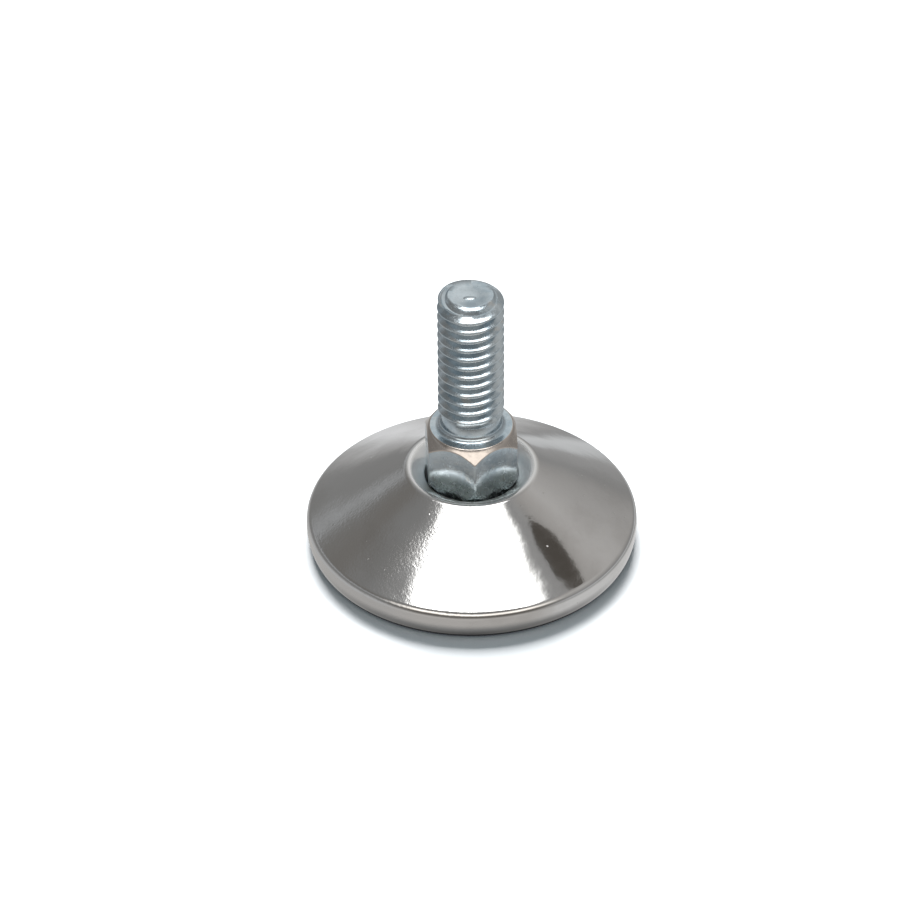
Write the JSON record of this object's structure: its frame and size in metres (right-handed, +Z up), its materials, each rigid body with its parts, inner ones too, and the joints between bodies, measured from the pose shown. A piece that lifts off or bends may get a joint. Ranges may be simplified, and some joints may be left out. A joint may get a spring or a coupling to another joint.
{
  "type": "furniture leveling foot",
  "caption": "Swivel leveling foot: a zinc plated threaded stud with a hexagon and a ball shoulder tilts and turns in a bright conical steel base on a black pad.",
  "frame": {"origin": "centre of the underside of the pad, where the foot stands on the floor", "axes": "+Z up along the stud at rest, X and Y level"},
  "size_m": [0.0474, 0.0474, 0.0426],
  "materials": {
    "polished_steel": "bright nickel plate over pressed steel, faint orange peel",
    "black_rubber": "matt moulded rubber",
    "natural_nylon": "natural nylon, satin",
    "washer_steel": "plain zinc plated steel",
    "zinc_plate": "blue bright zinc plate on rolled and headed steel"
  },
  "bodies": {
    "base": {"base_shell": "polished_steel", "base_pad": "black_rubber"},
    "glide": {"glide_washer": "natural_nylon"},
    "keeper": {"keeper_washer": "washer_steel"},
    "stud": {"threaded_stud": "zinc_plate"}
  },
  "joints": [
    {"name": "tilt_side", "type": "hinge", "parent": "base", "child": "glide", "pos_m": [0, 0, 0.01489], "axis": [1, 0, 0], "range_deg": [-7, 7]},
    {"name": "tilt_front", "type": "hinge", "parent": "glide", "child": "keeper", "pos_m": [0, 0, 0.01489], "axis": [0, 1, 0], "range_deg": [-7, 7]},
    {"name": "stud_spin", "type": "hinge", "parent": "keeper", "child": "stud", "pos_m": [0, 0, 0.01489], "axis": [0, 0, 1], "continuous": true}
  ]
}
